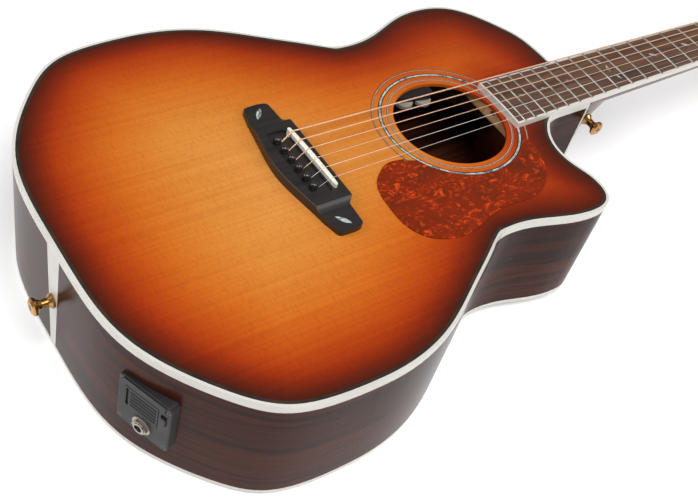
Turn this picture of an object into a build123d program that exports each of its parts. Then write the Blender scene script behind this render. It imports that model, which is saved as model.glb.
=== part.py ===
from build123d import *
import os
from math import asin, cos, degrees, radians, sin, sqrt, tan

# Steel-string acoustic guitar with a cutaway, 3 + 3 tuners, a pickup and a battery box.
# Everything is drawn about the saddle: x = 0 on the centre line with the treble side at +x,
# y = 0 at the saddle and the nut at +y, z = 0 on the top face. save() then moves each piece
# so that the origin is the bottom centre of the whole guitar's bounding box.

# ---- overall sizes (mm) ----
SCALE_LENGTH = 643.0
COMPENSATION = 2.5
TAIL_LENGTH = 208.5            # saddle to the tail of the body
BODY_FRONT = 290.5             # saddle to the face that the neck bolts to
TAIL_DEPTH = 113.0             # outside depth at the tail
BACK_TAPER = 1.15              # degrees by which the back rises towards the neck
LOWER_BOUT, LOWER_BOUT_Y = 191.0, -60.0
WAIST, WAIST_Y = 118.5, 116.0
UPPER_BOUT, UPPER_BOUT_Y = 142.0, 210.0
HORN, HORN_Y = 133.0, 196.0
HEADSTOCK_LENGTH = 184.0
HEADSTOCK_ANGLE = 13.0

# ---- shell ----
TOP_THICKNESS = 3.0
BACK_THICKNESS = 2.8
SIDE_THICKNESS = 2.3
BINDING_HEIGHT = 7.0
BACK_BINDING_HEIGHT = 4.0
PURFLING_WIDTH = 2.6
PURFLING_DEPTH = 1.2
LINING_WIDTH = 6.0
LINING_HEIGHT = 14.0
TAIL_WEDGE_TOP, TAIL_WEDGE_BOTTOM = 21.0, 7.5

# ---- sound hole and rosette ----
HOLE_Y, HOLE_RADIUS = 143.3, 49.7
RING_DEPTH = 1.0
INNER_RING = (54.0, 55.8)
ABALONE_RING = (59.7, 63.0)
OUTER_RING = (67.4, 69.2)

# ---- neck and fretboard ----
BOARD_THICKNESS = 6.5
BOARD_RADIUS = 400.0
NUT_WIDTH, SADDLE_END_WIDTH = 44.0, 61.5
BOARD_OVERHANG = 9.03          # the board beyond its last fret
BOARD_BINDING = 1.8
FRET_COUNT = 20
FRET_WIDTH, FRET_CROWN, FRET_TANG, FRET_TANG_WIDTH = 2.4, 1.1, 1.6, 0.6
NUT_THICKNESS, NUT_RISE = 5.0, 2.2
NECK_DEPTH_AT_NUT, NECK_DEPTH_AT_HEEL = 14.5, 17.5
HEEL_DEPTH = 96.0
HEEL_CAP_THICKNESS = 3.0
HEADSTOCK_THICKNESS, VENEER_THICKNESS = 14.0, 1.6

# ---- strings, lowest first: radius of each, then the ones that are wound ----
STRING_RADII = (0.67, 0.53, 0.40, 0.30, 0.21, 0.15)
WOUND_COUNT = 4
SADDLE_SPREAD, NUT_SPREAD = 54.8, 36.5
SADDLE_HEIGHT = 13.6           # middle of the saddle's crown above the top face

# ---- bridge ----
BRIDGE_HEIGHT, WING_HEIGHT = 8.6, 5.0
BRIDGE_HALF_LENGTH = 72.0
PIN_Y = -14.8
PIN_HOLE_RADIUS, PIN_RADIUS = 2.75, 2.55
BALL_RADIUS = 1.9
BRIDGE_PLATE_THICKNESS = 2.5

CLEAR = 0.3                    # running clearance between pieces that move past each other

NUT_Y = SCALE_LENGTH + COMPENSATION
BOARD_TOP = BOARD_THICKNESS
SIDES = (-1, 1)
X_AXIS, Y_AXIS = (1, 0, 0), (0, 1, 0)

os.makedirs("parts", exist_ok=True)


def fret_y(number):
    """Distance of a fret from the saddle line."""
    return NUT_Y - SCALE_LENGTH * (1 - 2 ** (-number / 12))


BOARD_END = fret_y(FRET_COUNT) - BOARD_OVERHANG


def board_half_width(y):
    """Half the fretboard's width at a distance from the saddle line."""
    along = (NUT_Y - y) / SCALE_LENGTH
    return (NUT_WIDTH + (SADDLE_END_WIDTH - NUT_WIDTH) * along) / 2


def box(x0, x1, y0, y1, z0, z1):
    """A block between two corners."""
    block = Box(x1 - x0, y1 - y0, z1 - z0)
    return Pos((x0 + x1) / 2, (y0 + y1) / 2, (z0 + z1) / 2) * block


def rod(start, end, radius):
    """A round bar from one point to another."""
    along = Vector(*end) - Vector(*start)
    return Solid.make_cylinder(radius, along.length, Plane(origin=start, z_dir=along))


def between(a, b, along, across):
    """A point between two outline points, by a share of the way in y and in x."""
    return (a[0] + (b[0] - a[0]) * across, a[1] + (b[1] - a[1]) * along)


def prism(face, z0, z1):
    """A flat face drawn at z = 0, made solid between two heights."""
    return Pos(0, 0, z0) * extrude(face, amount=z1 - z0)


def ring(radii, z0, z1, centre_y=HOLE_Y):
    """A flat ring about the sound hole."""
    face = Pos(0, centre_y) * (Circle(radii[1]) - Circle(radii[0]))
    return prism(face, z0, z1)


# ---- placing: a plane for the back, one for the headstock, one for the battery box ----
HEAD_TILT = radians(HEADSTOCK_ANGLE)
HEAD_START_Y = NUT_Y + NUT_THICKNESS
HEAD_TOP_Z = BOARD_TOP - 2.6
HEAD_PLANE = Plane(
    origin=(0, HEAD_START_Y, HEAD_TOP_Z), x_dir=X_AXIS, z_dir=(0, sin(HEAD_TILT), cos(HEAD_TILT))
)


def back_z(y):
    """Height of the back's outer face."""
    return -TAIL_DEPTH + (y + TAIL_LENGTH) * tan(radians(BACK_TAPER))


def back_slab(height0, height1):
    """The space between two heights above the back's tapered outer face."""
    slab = box(-300, 300, -100, 700, height0, height1)
    return Pos(0, -TAIL_LENGTH, -TAIL_DEPTH) * Rot(BACK_TAPER, 0, 0) * slab


# ---- body outline ----
SHOULDER_X, HEEL_SIDE_X = 36.0, 26.0


def shifted(edge, side, distance):
    """A curve moved sideways towards the middle of the body."""
    if distance == 0:
        return edge
    points = []
    for step in range(13):
        tangent = edge.tangent_at(step / 12)
        points.append(edge.position_at(step / 12) + Vector(-tangent.Y, tangent.X) * side * distance)
    return Spline(*points, tangents=[edge.tangent_at(0), edge.tangent_at(1)])


def outline_face(inset=0.0):
    """The body's plan: two bouts, a waist and a cutaway on the treble side, less an inset."""
    tail = (0, -TAIL_LENGTH)
    shoulder = (-SHOULDER_X, BODY_FRONT)
    upper = (-UPPER_BOUT, UPPER_BOUT_Y)
    horn = (HORN, HORN_Y)
    horn_top = (HORN - 25, HORN_Y + 27)
    scoop = (HORN - 64, HORN_Y + 19.5)
    straight = (HEEL_SIDE_X, HORN_Y + 58)
    curves = []
    for side in SIDES:
        lower = (side * LOWER_BOUT, LOWER_BOUT_Y)
        waist = (side * WAIST, WAIST_Y)
        curves.append((side, Spline(
            tail, between(tail, lower, 0.092, 0.545), between(tail, lower, 0.352, 0.838), lower,
            tangents=[(side, 0), (0, 1)],
        )))
        curves.append((side, Spline(
            lower, between(lower, waist, 0.39, 0.2), between(lower, waist, 0.69, 0.63),
            between(lower, waist, 0.84, 0.86), waist,
            tangents=[(0, 1), (0, 1)],
        )))
    curves.append((-1, Spline((-WAIST, WAIST_Y), upper, tangents=[(0, 1), (0, 1)])))
    curves.append((-1, Spline(
        upper, between(upper, shoulder, 0.55, 0.142), between(upper, shoulder, 0.85, 0.462), shoulder,
        tangents=[(0, 1), (1, 0)],
    )))
    curves.append((1, Spline((WAIST, WAIST_Y), horn, tangents=[(0, 1), (0, 1)])))
    curves.append((1, Spline(horn, horn_top, tangents=[(0, 1), (-1, 0)])))
    curves.append((1, Spline(horn_top, scoop, tangents=[(-1, 0), (-1, 0)])))
    curves.append((1, Spline(
        scoop, between(scoop, straight, 0.27, 0.69), straight, tangents=[(-1, 0), (0, 1)],
    )))
    corner = (HEEL_SIDE_X - inset, BODY_FRONT - inset)
    edges = [shifted(curve, side, inset) for side, curve in curves]
    edges.append(Line((HEEL_SIDE_X - inset, straight[1]), corner))
    edges.append(Line(corner, (-SHOULDER_X, BODY_FRONT - inset)))
    return make_face(Wire(edges))


PLAN = outline_face()
INNER_PLAN = outline_face(SIDE_THICKNESS)
PURFLED_PLAN = outline_face(SIDE_THICKNESS + PURFLING_WIDTH)
LINED_PLAN = outline_face(SIDE_THICKNESS + LINING_WIDTH)


def save(name, *pieces):
    """Moves the pieces to the guitar's own origin and writes them as one node."""
    place = Pos(0, -MIDDLE_Y, TAIL_DEPTH)
    solids = [solid for piece in pieces for solid in (place * piece).solids()]
    shape = solids[0] if len(solids) == 1 else Compound(children=solids)
    export_step(shape, f"parts/{name}.step")


# ---- body shell ----
FLOOR = -TAIL_DEPTH - 5
BLOCK_HALF_WIDTH = 36.0
NECK_BLOCK_LENGTH, TAIL_BLOCK_LENGTH = 58.0, 24.0
BATTERY_X, BATTERY_Y, BATTERY_Z = 113.0, -192.0, -57.0
BATTERY_TURN = 20.9            # degrees that the battery box faces away from the tail
BOX_HALF_WIDTH, BOX_HALF_HEIGHT = 20.0, 23.0
JACK_BORE_RADIUS, JACK_BODY_RADIUS, JACK_DROP = 3.2, 6.0, 15.0
STRAP_PEG_Z = -59.0
HEEL_PEG_Z = -24.0
PEG_SHANK_RADIUS = 1.6

BATTERY_PLANE = Plane(
    origin=(BATTERY_X, BATTERY_Y, BATTERY_Z),
    x_dir=(cos(radians(BATTERY_TURN)), sin(radians(BATTERY_TURN)), 0),
    z_dir=(sin(radians(BATTERY_TURN)), -cos(radians(BATTERY_TURN)), 0),
)


def on_battery(piece):
    """Places a piece drawn with x across, y up and z out of the battery box's face."""
    return BATTERY_PLANE.location * piece


def wedge_face(grow=0.0):
    """The tail wedge's tapered outline, in the plane across the tail."""
    top, bottom = TAIL_WEDGE_TOP / 2 + grow, TAIL_WEDGE_BOTTOM / 2 + grow
    corners = [(-top, 5), (top, 5), (bottom, FLOOR), (-bottom, FLOOR)]
    return Plane.XZ.location * make_face(Wire(Polyline(*corners, close=True)))


def shell_parts():
    """Soundboard, back, sides, bindings, purfling and linings."""
    back_edge = back_slab(BACK_BINDING_HEIGHT, 300)
    wall = prism(PLAN, FLOOR, -BINDING_HEIGHT) - prism(INNER_PLAN, FLOOR - 1, 1)
    wall = wall & back_edge
    wedge_space = Pos(0, -TAIL_LENGTH + 20, 0) * extrude(wedge_face(), amount=40)
    strip_y = BODY_FRONT - SIDE_THICKNESS - 0.1
    heel_strip_space = box(HEEL_SIDE_X - 4, HEEL_SIDE_X + 0.1, strip_y, BODY_FRONT + 1, FLOOR, 1)
    trim = [wall & wedge_space, wall & heel_strip_space]
    box_hole = on_battery(box(-BOX_HALF_WIDTH, BOX_HALF_WIDTH, -BOX_HALF_HEIGHT, BOX_HALF_HEIGHT, -60, 20))
    wall = wall - wedge_space - heel_strip_space - box_hole
    for x, y in SCREW_PLACES:
        wall -= on_battery(rod((x, y, -12), (x, y, 12), BOX_SCREW_RADIUS + 0.03))
    bass, treble = wall.solids().sort_by(Axis.X)
    save("side_bass", bass)
    save("side_treble", treble)
    peg_hole = rod((0, -TAIL_LENGTH - 5, STRAP_PEG_Z), (0, -TAIL_LENGTH + 40, STRAP_PEG_Z), PEG_SHANK_RADIUS)
    save("trim_strips", trim[0] - peg_hole, trim[1], center_strip())

    top_ring = prism(PLAN, -BINDING_HEIGHT, 0) - prism(INNER_PLAN, -BINDING_HEIGHT - 1, 1)
    save("top_binding", top_ring - rod_channel())
    low_ring = prism(PLAN, FLOOR, -60) - prism(INNER_PLAN, FLOOR - 1, -59)
    save("back_binding", low_ring & back_slab(0, BACK_BINDING_HEIGHT))
    purfling = prism(INNER_PLAN, -PURFLING_DEPTH, 0) - prism(PURFLED_PLAN, -5, 1)
    save("top_purfling", purfling - rod_channel())

    top = prism(INNER_PLAN, -TOP_THICKNESS, 0)
    top -= prism(INNER_PLAN, -PURFLING_DEPTH, 1) - prism(PURFLED_PLAN, -5, 2)
    top -= Pos(0, HOLE_Y, 0) * Cylinder(HOLE_RADIUS, 20)
    for radii in (INNER_RING, ABALONE_RING, OUTER_RING):
        top -= ring(radii, -RING_DEPTH, 1)
    for x in PIN_X:
        top -= Pos(x, PIN_Y, 0) * Cylinder(PIN_HOLE_RADIUS, 20)
    save("soundboard", top - rod_channel())
    save("rosette_abalone", ring(ABALONE_RING, -RING_DEPTH, 0))
    save("rosette_rings", ring(INNER_RING, -RING_DEPTH, 0), ring(OUTER_RING, -RING_DEPTH, 0))

    back = prism(INNER_PLAN, FLOOR, -50) & back_slab(0, BACK_THICKNESS)
    save("back_plate", back - center_strip())

    lining_ring = prism(INNER_PLAN, FLOOR, 1) - prism(LINED_PLAN, FLOOR - 1, 2)
    gaps = neck_block_space() + tail_block_space()
    gaps += on_battery(box(-BOX_HALF_WIDTH - 2, BOX_HALF_WIDTH + 2, -60, BOX_HALF_HEIGHT + 2, -60, 20))
    top_lining = lining_ring & box(-300, 300, -300, 400, -TOP_THICKNESS - LINING_HEIGHT, -TOP_THICKNESS)
    back_lining = lining_ring & back_slab(BACK_THICKNESS, BACK_THICKNESS + LINING_HEIGHT)
    save("linings", top_lining - gaps, back_lining - gaps)


def center_strip():
    """The light strip let into the middle of the back."""
    strip = box(-3, 3, -TAIL_LENGTH + SIDE_THICKNESS + 4, BODY_FRONT - SIDE_THICKNESS - 4, FLOOR, -50)
    return strip & back_slab(0, 1.0)


def neck_block_space():
    return box(-BLOCK_HALF_WIDTH, HEEL_SIDE_X, BODY_FRONT - NECK_BLOCK_LENGTH, BODY_FRONT + 5, FLOOR, 1)


def tail_block_space():
    front = -TAIL_LENGTH + TAIL_BLOCK_LENGTH
    return box(-BLOCK_HALF_WIDTH, BLOCK_HALF_WIDTH, -TAIL_LENGTH - 5, front, FLOOR, 1)


def block_parts():
    """The blocks that the neck and the tail strap button fasten into."""
    inside = prism(INNER_PLAN, FLOOR, -TOP_THICKNESS) & back_slab(BACK_THICKNESS, 300)
    neck_block = inside & neck_block_space()
    for z in HEEL_BOLT_Z:
        neck_block -= rod((0, BODY_FRONT + 1, z), (0, BODY_FRONT - 90, z), HEEL_BOLT_RADIUS)
    nut_space = rod((0, ROD_NUT_START - 1, ROD_NUT_Z), (0, ROD_START + 0.3, ROD_NUT_Z), ROD_NUT_RADIUS + 0.3)
    neck_block = neck_block - rod_channel() - nut_space
    save("neck_block", neck_block)
    tail_block = inside & tail_block_space()
    peg_start, peg_end = (0, -TAIL_LENGTH - 1, STRAP_PEG_Z), (0, -TAIL_LENGTH + 20, STRAP_PEG_Z)
    tail_block -= rod(peg_start, peg_end, PEG_SHANK_RADIUS)
    save("tail_block", tail_block)


# ---- bracing ----
CROSSING_Y, BRACE_ANGLE = 61.0, 42.0
BRACE_WIDTH, BRACE_HEIGHT = 7.5, 13.0
BAR_Y = 199.0                  # transverse bar beyond the sound hole
BACK_BAR_Y = (-120.0, -20.0, 80.0, 168.0)
PLATE_FRONT, PLATE_REAR, PLATE_HALF_LENGTH = 9.0, -34.0, 48.0
HEEL_BOLT_Z, HEEL_BOLT_RADIUS = (-35.0, -68.0), 3.1
ROD_SIZE, ROD_CHANNEL_WIDTH = 6.0, 6.4
ROD_START = BODY_FRONT - NECK_BLOCK_LENGTH + 6
ROD_NUT_START, ROD_NUT_Z, ROD_NUT_RADIUS = ROD_START - 12.0, -6.4, 2.8


def bar(length, width, height, angle, x, y, side=-1):
    """A brace with a rounded free edge, glued flat on at z = 0, on the side below or above."""
    profile = Rectangle(width, height)
    blank = extrude(Plane.YZ.location * profile, amount=length / 2, both=True)
    edges = blank.edges().filter_by(Axis.X).group_by(Axis.Z)[0 if side < 0 else -1]
    blank = fillet(edges, width * 0.4)
    return Pos(x, y, side * height / 2) * Rot(0, 0, angle) * blank


def top_braces():
    """Crossed main braces, two tone bars and the bars about the sound hole."""
    inside = prism(LINED_PLAN, FLOOR, -TOP_THICKNESS)
    long_bar = bar(460, BRACE_WIDTH, BRACE_HEIGHT, BRACE_ANGLE, 0, CROSSING_Y)
    cross_bar = bar(460, BRACE_WIDTH, BRACE_HEIGHT, -BRACE_ANGLE, 0, CROSSING_Y)
    tone_bars = [bar(210, 6, 9, -28, -16, -62), bar(170, 6, 9, -28, -38, -112)]
    finger_bars = [bar(70, 5, 7, side * 20, side * 128, -2) for side in SIDES]
    hole_bars = [bar(42, 6, 7, 90, side * (HOLE_RADIUS + 24), HOLE_Y + 14) for side in SIDES]
    upper_bar = bar(240, 11, 14, 0, 0, BAR_Y)
    wrench_z = ROD_NUT_Z + TOP_THICKNESS
    upper_bar -= rod((0, BAR_Y - 10, wrench_z), (0, BAR_Y + 10, wrench_z), ROD_NUT_RADIUS + 0.1)
    block = neck_block_space()
    pieces = []
    taken = block
    for piece in [long_bar, cross_bar, upper_bar, *tone_bars, *finger_bars, *hole_bars]:
        piece = (Pos(0, 0, -TOP_THICKNESS) * piece) & inside
        pieces += list((piece - taken).solids())
        taken = taken + piece
    return [piece for piece in pieces if piece.volume > 400]


def back_braces():
    """Ladder bars across the inside of the back."""
    inside = prism(LINED_PLAN, FLOOR, -20)
    bars = []
    for y in BACK_BAR_Y:
        piece = Pos(0, 0, back_z(y) + BACK_THICKNESS / cos(radians(BACK_TAPER)))
        piece = piece * Pos(0, y, 0) * Rot(BACK_TAPER, 0, 0) * Pos(0, -y, 0) * bar(380, 8, 11, 0, 0, y, 1)
        bars += list((piece & inside).solids())
    return bars


def bridge_plate():
    """The hardwood plate under the bridge, drilled for the pins."""
    plate = box(
        -PLATE_HALF_LENGTH, PLATE_HALF_LENGTH, PLATE_REAR, PLATE_FRONT,
        -TOP_THICKNESS - BRIDGE_PLATE_THICKNESS, -TOP_THICKNESS,
    )
    for x in PIN_X:
        plate -= Pos(x, PIN_Y, 0) * Cylinder(PIN_HOLE_RADIUS, 30)
    return plate


# ---- neck ----
def board_curve(rise, y0, y1):
    """The space under the fretboard's curved playing surface, raised by an amount."""
    radius = BOARD_RADIUS + rise
    tube = Solid.make_cylinder(radius, y1 - y0, Plane((0, y0, BOARD_TOP - BOARD_RADIUS), z_dir=Y_AXIS))
    return tube


def board_plan(shrink=0.0, y0=BOARD_END, y1=NUT_Y):
    """The fretboard's tapered plan, less an amount along its sides and its body end."""
    start = y0 + shrink
    corners = [
        (board_half_width(start) - shrink, start), (board_half_width(y1) - shrink, y1),
        (-board_half_width(y1) + shrink, y1), (-board_half_width(start) + shrink, start),
    ]
    return make_face(Wire(Polyline(*corners, close=True)))


def under_curve(shape):
    """Trims a shape to the fretboard's curved top."""
    return shape & board_curve(0, BOARD_END - 10, NUT_Y + 10)


def rod_channel():
    """The slot along the neck that holds the truss rod."""
    half = ROD_CHANNEL_WIDTH / 2
    return box(-half, half, BODY_FRONT - NECK_BLOCK_LENGTH - 1, NUT_Y - 12, -ROD_SIZE - 0.4, 0)


def neck_section(y, half_width, depth, z=0.0):
    """A rounded neck profile: half an ellipse, set up across the neck."""
    face = Ellipse(half_width, depth) & Pos(0, -depth) * Rectangle(4 * half_width, 2 * depth)
    plane = Plane(origin=(0, y, z), x_dir=X_AXIS, z_dir=(0, -1, 0))
    return plane.location * face


def heel_section(share):
    """The heel's plan at a share of its depth: half an ellipse against the body."""
    half = board_half_width(BODY_FRONT) * (1 - 0.66 * share)
    reach = 66 - 52 * share ** 0.6
    oval = Ellipse(half, reach) & Pos(0, reach) * Rectangle(4 * half, 2 * reach)
    return Pos(0, BODY_FRONT, -HEEL_DEPTH * share) * oval


def throat():
    """The swelling that carries the neck's curve into the back of the headstock."""
    reach, step = 36.0, 0.4
    fall = reach * tan(HEAD_TILT)
    return loft([
        neck_section(HEAD_START_Y - 6, NUT_WIDTH / 2 - step, NECK_DEPTH_AT_NUT - 2 * step, -step),
        neck_section(HEAD_START_Y + reach, NUT_WIDTH / 2 - 3, HEADSTOCK_THICKNESS - 3.5, -fall),
    ])


def neck_solid():
    """Shaft, heel and headstock in one piece of wood."""
    shaft = loft([
        neck_section(BODY_FRONT, board_half_width(BODY_FRONT), NECK_DEPTH_AT_HEEL),
        neck_section(fret_y(7), board_half_width(fret_y(7)), (NECK_DEPTH_AT_HEEL + NECK_DEPTH_AT_NUT) / 2),
        neck_section(NUT_Y, NUT_WIDTH / 2, NECK_DEPTH_AT_NUT),
        neck_section(HEAD_START_Y, NUT_WIDTH / 2, NECK_DEPTH_AT_NUT),
    ])
    heel = loft([heel_section(share) for share in (0.0, 0.35, 0.7, 1.0)])
    neck = shaft + heel
    stock = extrude(head_face(), amount=HEADSTOCK_THICKNESS)
    stock = Pos(0, 0, -VENEER_THICKNESS - HEADSTOCK_THICKNESS) * stock
    neck += on_head(stock)
    neck += throat()
    neck -= box(-30, 30, NUT_Y, HEAD_START_Y, 0, 20)
    for x, along in POST_PLACES:
        neck -= on_head(Pos(x, along, 0) * Cylinder(POST_HOLE_RADIUS, 80))
        neck -= on_head(Pos(x, along - SCREW_BEHIND_POST, HEAD_BACK) * Cylinder(TUNER_SCREW_RADIUS, 16))
    neck -= rod_channel()
    for z in HEEL_BOLT_Z:
        neck -= rod((0, BODY_FRONT - 1, z), (0, BODY_FRONT + 9, z), HEEL_BOLT_RADIUS)
    peg_start, peg_end = (HEEL_PEG_X - 14, HEEL_PEG_Y, HEEL_PEG_Z), (HEEL_PEG_X + 5, HEEL_PEG_Y, HEEL_PEG_Z)
    neck -= rod(peg_start, peg_end, PEG_SHANK_RADIUS)
    return neck


# ---- headstock and tuners, drawn with x across, y along the headstock and z off its face ----
HEAD_HALF_WIDTH, HEAD_TIP_HALF_WIDTH = 36.0, 38.5
POST_PLACES = ((-20.5, 42.0), (-19.5, 82.0), (-18.5, 122.0), (18.5, 122.0), (19.5, 82.0), (20.5, 42.0))
POST_RADIUS, POST_HOLE_RADIUS, POST_HEIGHT = 3.1, 4.8, 15.0
COIL_HEIGHT = 7.2
HEAD_BACK = -VENEER_THICKNESS - HEADSTOCK_THICKNESS
GEAR_RADIUS, GEAR_THICKNESS, GEAR_DROP = 4.6, 4.0, 5.0
WORM_RADIUS, KNOB_SHAFT_RADIUS = 2.4, 1.5
WORM_OFFSET = GEAR_RADIUS + WORM_RADIUS + CLEAR
HOUSING_WALL, HOUSING_DEPTH, HOUSING_HALF = 1.5, 10.5, 7.6
SHAFT_FIT = 0.05
KNOB_REACH = 30.0
WORM_RATIO = 18
SCREW_BEHIND_POST, TUNER_SCREW_RADIUS = 10.2, 1.0


def on_head(piece):
    """Places a piece drawn on the headstock's face."""
    return HEAD_PLANE.location * piece


def head_face():
    """The headstock's outline: flared from the nut, with a softly peaked tip."""
    tip_y = HEADSTOCK_LENGTH - 12
    edges = [Line((-NUT_WIDTH / 2, 0), (NUT_WIDTH / 2, 0))]
    for side in SIDES:
        edges.append(Spline(
            (side * NUT_WIDTH / 2, 0), (side * HEAD_HALF_WIDTH, 34),
            tangents=[(side * 0.25, 1), (side * 0.1, 1)],
        ))
        edges.append(Line((side * HEAD_HALF_WIDTH, 34), (side * HEAD_TIP_HALF_WIDTH, tip_y)))
        edges.append(Spline(
            (side * HEAD_TIP_HALF_WIDTH, tip_y), (0, HEADSTOCK_LENGTH),
            tangents=[(-side * 0.7, 0.5), (-side, 0)],
        ))
    return make_face(Wire(edges))


def head_veneer():
    """The thin dark facing on the headstock."""
    sheet = Pos(0, 0, -VENEER_THICKNESS) * extrude(head_face(), amount=VENEER_THICKNESS)
    for x, along in POST_PLACES:
        sheet -= Pos(x, along, 0) * Cylinder(POST_HOLE_RADIUS, 10)
    return on_head(sheet) - box(-30, 30, NUT_Y - 5, HEAD_START_Y, -10, 20)


def tuner_parts():
    """Six sealed machine heads: housing, bushing and screw fixed, post and knob turning."""
    housings, bushings, screws = [], [], []
    for number, (x, along) in enumerate(POST_PLACES, start=1):
        side = 1 if x > 0 else -1
        place = HEAD_PLANE.location * Pos(x, along, 0)
        outer = box(-HOUSING_HALF, HOUSING_HALF, -7.6, 12, HEAD_BACK - HOUSING_DEPTH, HEAD_BACK)
        outer = fillet(outer.edges().filter_by(Axis.Z), 3)
        outer = fillet(outer.faces().sort_by(Axis.Z)[0].edges(), 1.2)
        lug = box(-4, 4, -13, -7, HEAD_BACK - 2, HEAD_BACK)
        cavity_half = HOUSING_HALF - HOUSING_WALL
        cavity = box(
            -cavity_half, cavity_half, -7.6 + HOUSING_WALL, 12 - HOUSING_WALL,
            HEAD_BACK - HOUSING_DEPTH + HOUSING_WALL, HEAD_BACK + 1,
        )
        axle = HEAD_BACK - GEAR_DROP
        sleeve = rod((side * 6.5, WORM_OFFSET, axle), (side * 11, WORM_OFFSET, axle), 3.0)
        housing = outer + lug + sleeve - cavity
        housing -= rod((0, WORM_OFFSET, axle), (side * 20, WORM_OFFSET, axle), KNOB_SHAFT_RADIUS + SHAFT_FIT)
        housing -= Pos(0, -SCREW_BEHIND_POST, HEAD_BACK) * Cylinder(TUNER_SCREW_RADIUS, 10)
        housings.append(place * housing)

        bore = POST_RADIUS + SHAFT_FIT
        bushing = Pos(0, 0, HEAD_BACK / 2) * Cylinder(POST_HOLE_RADIUS, -HEAD_BACK)
        bushing += Pos(0, 0, 0.5) * Cylinder(6.8, 1.0)
        bushing += Pos(0, 0, 1) * extrude(RegularPolygon(5.6, 6), amount=2.2)
        bushings.append(place * (bushing - Cylinder(bore, 60)))

        screw = Pos(0, 0, -2.6) * Cylinder(2.1, 1.2) + rod((0, 0, -2), (0, 0, 7), TUNER_SCREW_RADIUS)
        screw -= Pos(0, 0, -3.2) * (Box(2.6, 0.5, 1) + Box(0.5, 2.6, 1))
        screw = Pos(0, -SCREW_BEHIND_POST, HEAD_BACK) * screw
        screws.append(place * screw)

        save(f"tuner_post_{number}", place * tuner_post(STRING_RADII[number - 1]))
        save(f"tuner_knob_{number}", place * tuner_knob(side))
    save("tuner_housings", *housings)
    save("tuner_bushings", *bushings)
    return screws


def tuner_post(string_radius):
    """The string post with its gear at the foot and three turns of string."""
    foot = HEAD_BACK - GEAR_DROP - GEAR_THICKNESS / 2
    post = rod((0, 0, foot - 1.6), (0, 0, POST_HEIGHT), POST_RADIUS)
    post = fillet(post.edges().group_by(Axis.Z)[-1], 0.8)
    gear = Pos(0, 0, foot + GEAR_THICKNESS / 2) * Cylinder(GEAR_RADIUS, GEAR_THICKNESS)
    teeth = PolarLocations(GEAR_RADIUS + 0.1, WORM_RATIO)
    for location in teeth:
        gear -= Pos(0, 0, foot + GEAR_THICKNESS / 2) * location * Cylinder(0.45, GEAR_THICKNESS + 1)
    post += gear
    post -= rod((-10, 0, COIL_HEIGHT + 4.2), (10, 0, COIL_HEIGHT + 4.2), 0.9)
    for turn in range(3):
        height = COIL_HEIGHT - 2.05 * string_radius * turn
        post += Pos(0, 0, height) * Torus(POST_RADIUS + string_radius * 0.9, string_radius)
    return post


def tuner_knob(side):
    """The knob, its shaft and the worm that turns the post's gear."""
    axle = HEAD_BACK - GEAR_DROP
    shaft = rod((-side * 5.6, WORM_OFFSET, axle), (side * KNOB_REACH, WORM_OFFSET, axle), KNOB_SHAFT_RADIUS)
    worm = rod((-side * 4.6, WORM_OFFSET, axle), (side * 4.6, WORM_OFFSET, axle), WORM_RADIUS)
    for step in range(-3, 4):
        groove = Torus(WORM_RADIUS + 0.15, 0.4)
        worm -= Pos(step * 1.3, WORM_OFFSET, axle) * Rot(0, 90, 0) * groove
    collar = rod((side * 11.3, WORM_OFFSET, axle), (side * 14, WORM_OFFSET, axle), 2.6)
    neck = Solid.make_cone(
        2.0, 3.4, 5, Plane((side * (KNOB_REACH - 9), WORM_OFFSET, axle), z_dir=(side, 0, 0))
    )
    button = extrude(Ellipse(7.2, 8.6), amount=3.1, both=True)
    button = fillet(button.edges(), 2.6)
    button = Pos(side * (KNOB_REACH + 3), WORM_OFFSET, axle) * button
    return shaft + worm + collar + neck + button


# ---- strings, nut and saddle ----
NUT_TOP = BOARD_TOP + NUT_RISE
NUT_ACTION = BOARD_TOP + FRET_CROWN + 0.5
SADDLE_HALF_LENGTH, SADDLE_THICKNESS, SADDLE_FLOOR = 34.0, 3.0, 3.4
SADDLE_X, SADDLE_Y, SADDLE_SLANT = 0.6, -0.3, 1.6     # slanted to compensate the low strings
SADDLE_PLACE = Pos(SADDLE_X, SADDLE_Y, 0) * Rot(0, 0, SADDLE_SLANT)
SADDLE_BACK_SLOPE = 42.0
SADDLE_BEND = 1.5              # the strings' bend over the saddle
PIN_SPREAD = 52.8
STRING_COUNT = len(STRING_RADII)
PIN_X = [PIN_SPREAD * (number / (STRING_COUNT - 1) - 0.5) for number in range(STRING_COUNT)]
PLATE_BOTTOM = -TOP_THICKNESS - BRIDGE_PLATE_THICKNESS
SHELF_HEIGHT = 6.4             # bridge top where the pins stand
STRING_IN_HOLE = 1.95          # string's offset in front of its pin's axis


def crown_drop(x):
    """How far the playing surface falls away from its middle."""
    return BOARD_RADIUS - sqrt(BOARD_RADIUS ** 2 - x ** 2)


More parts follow.
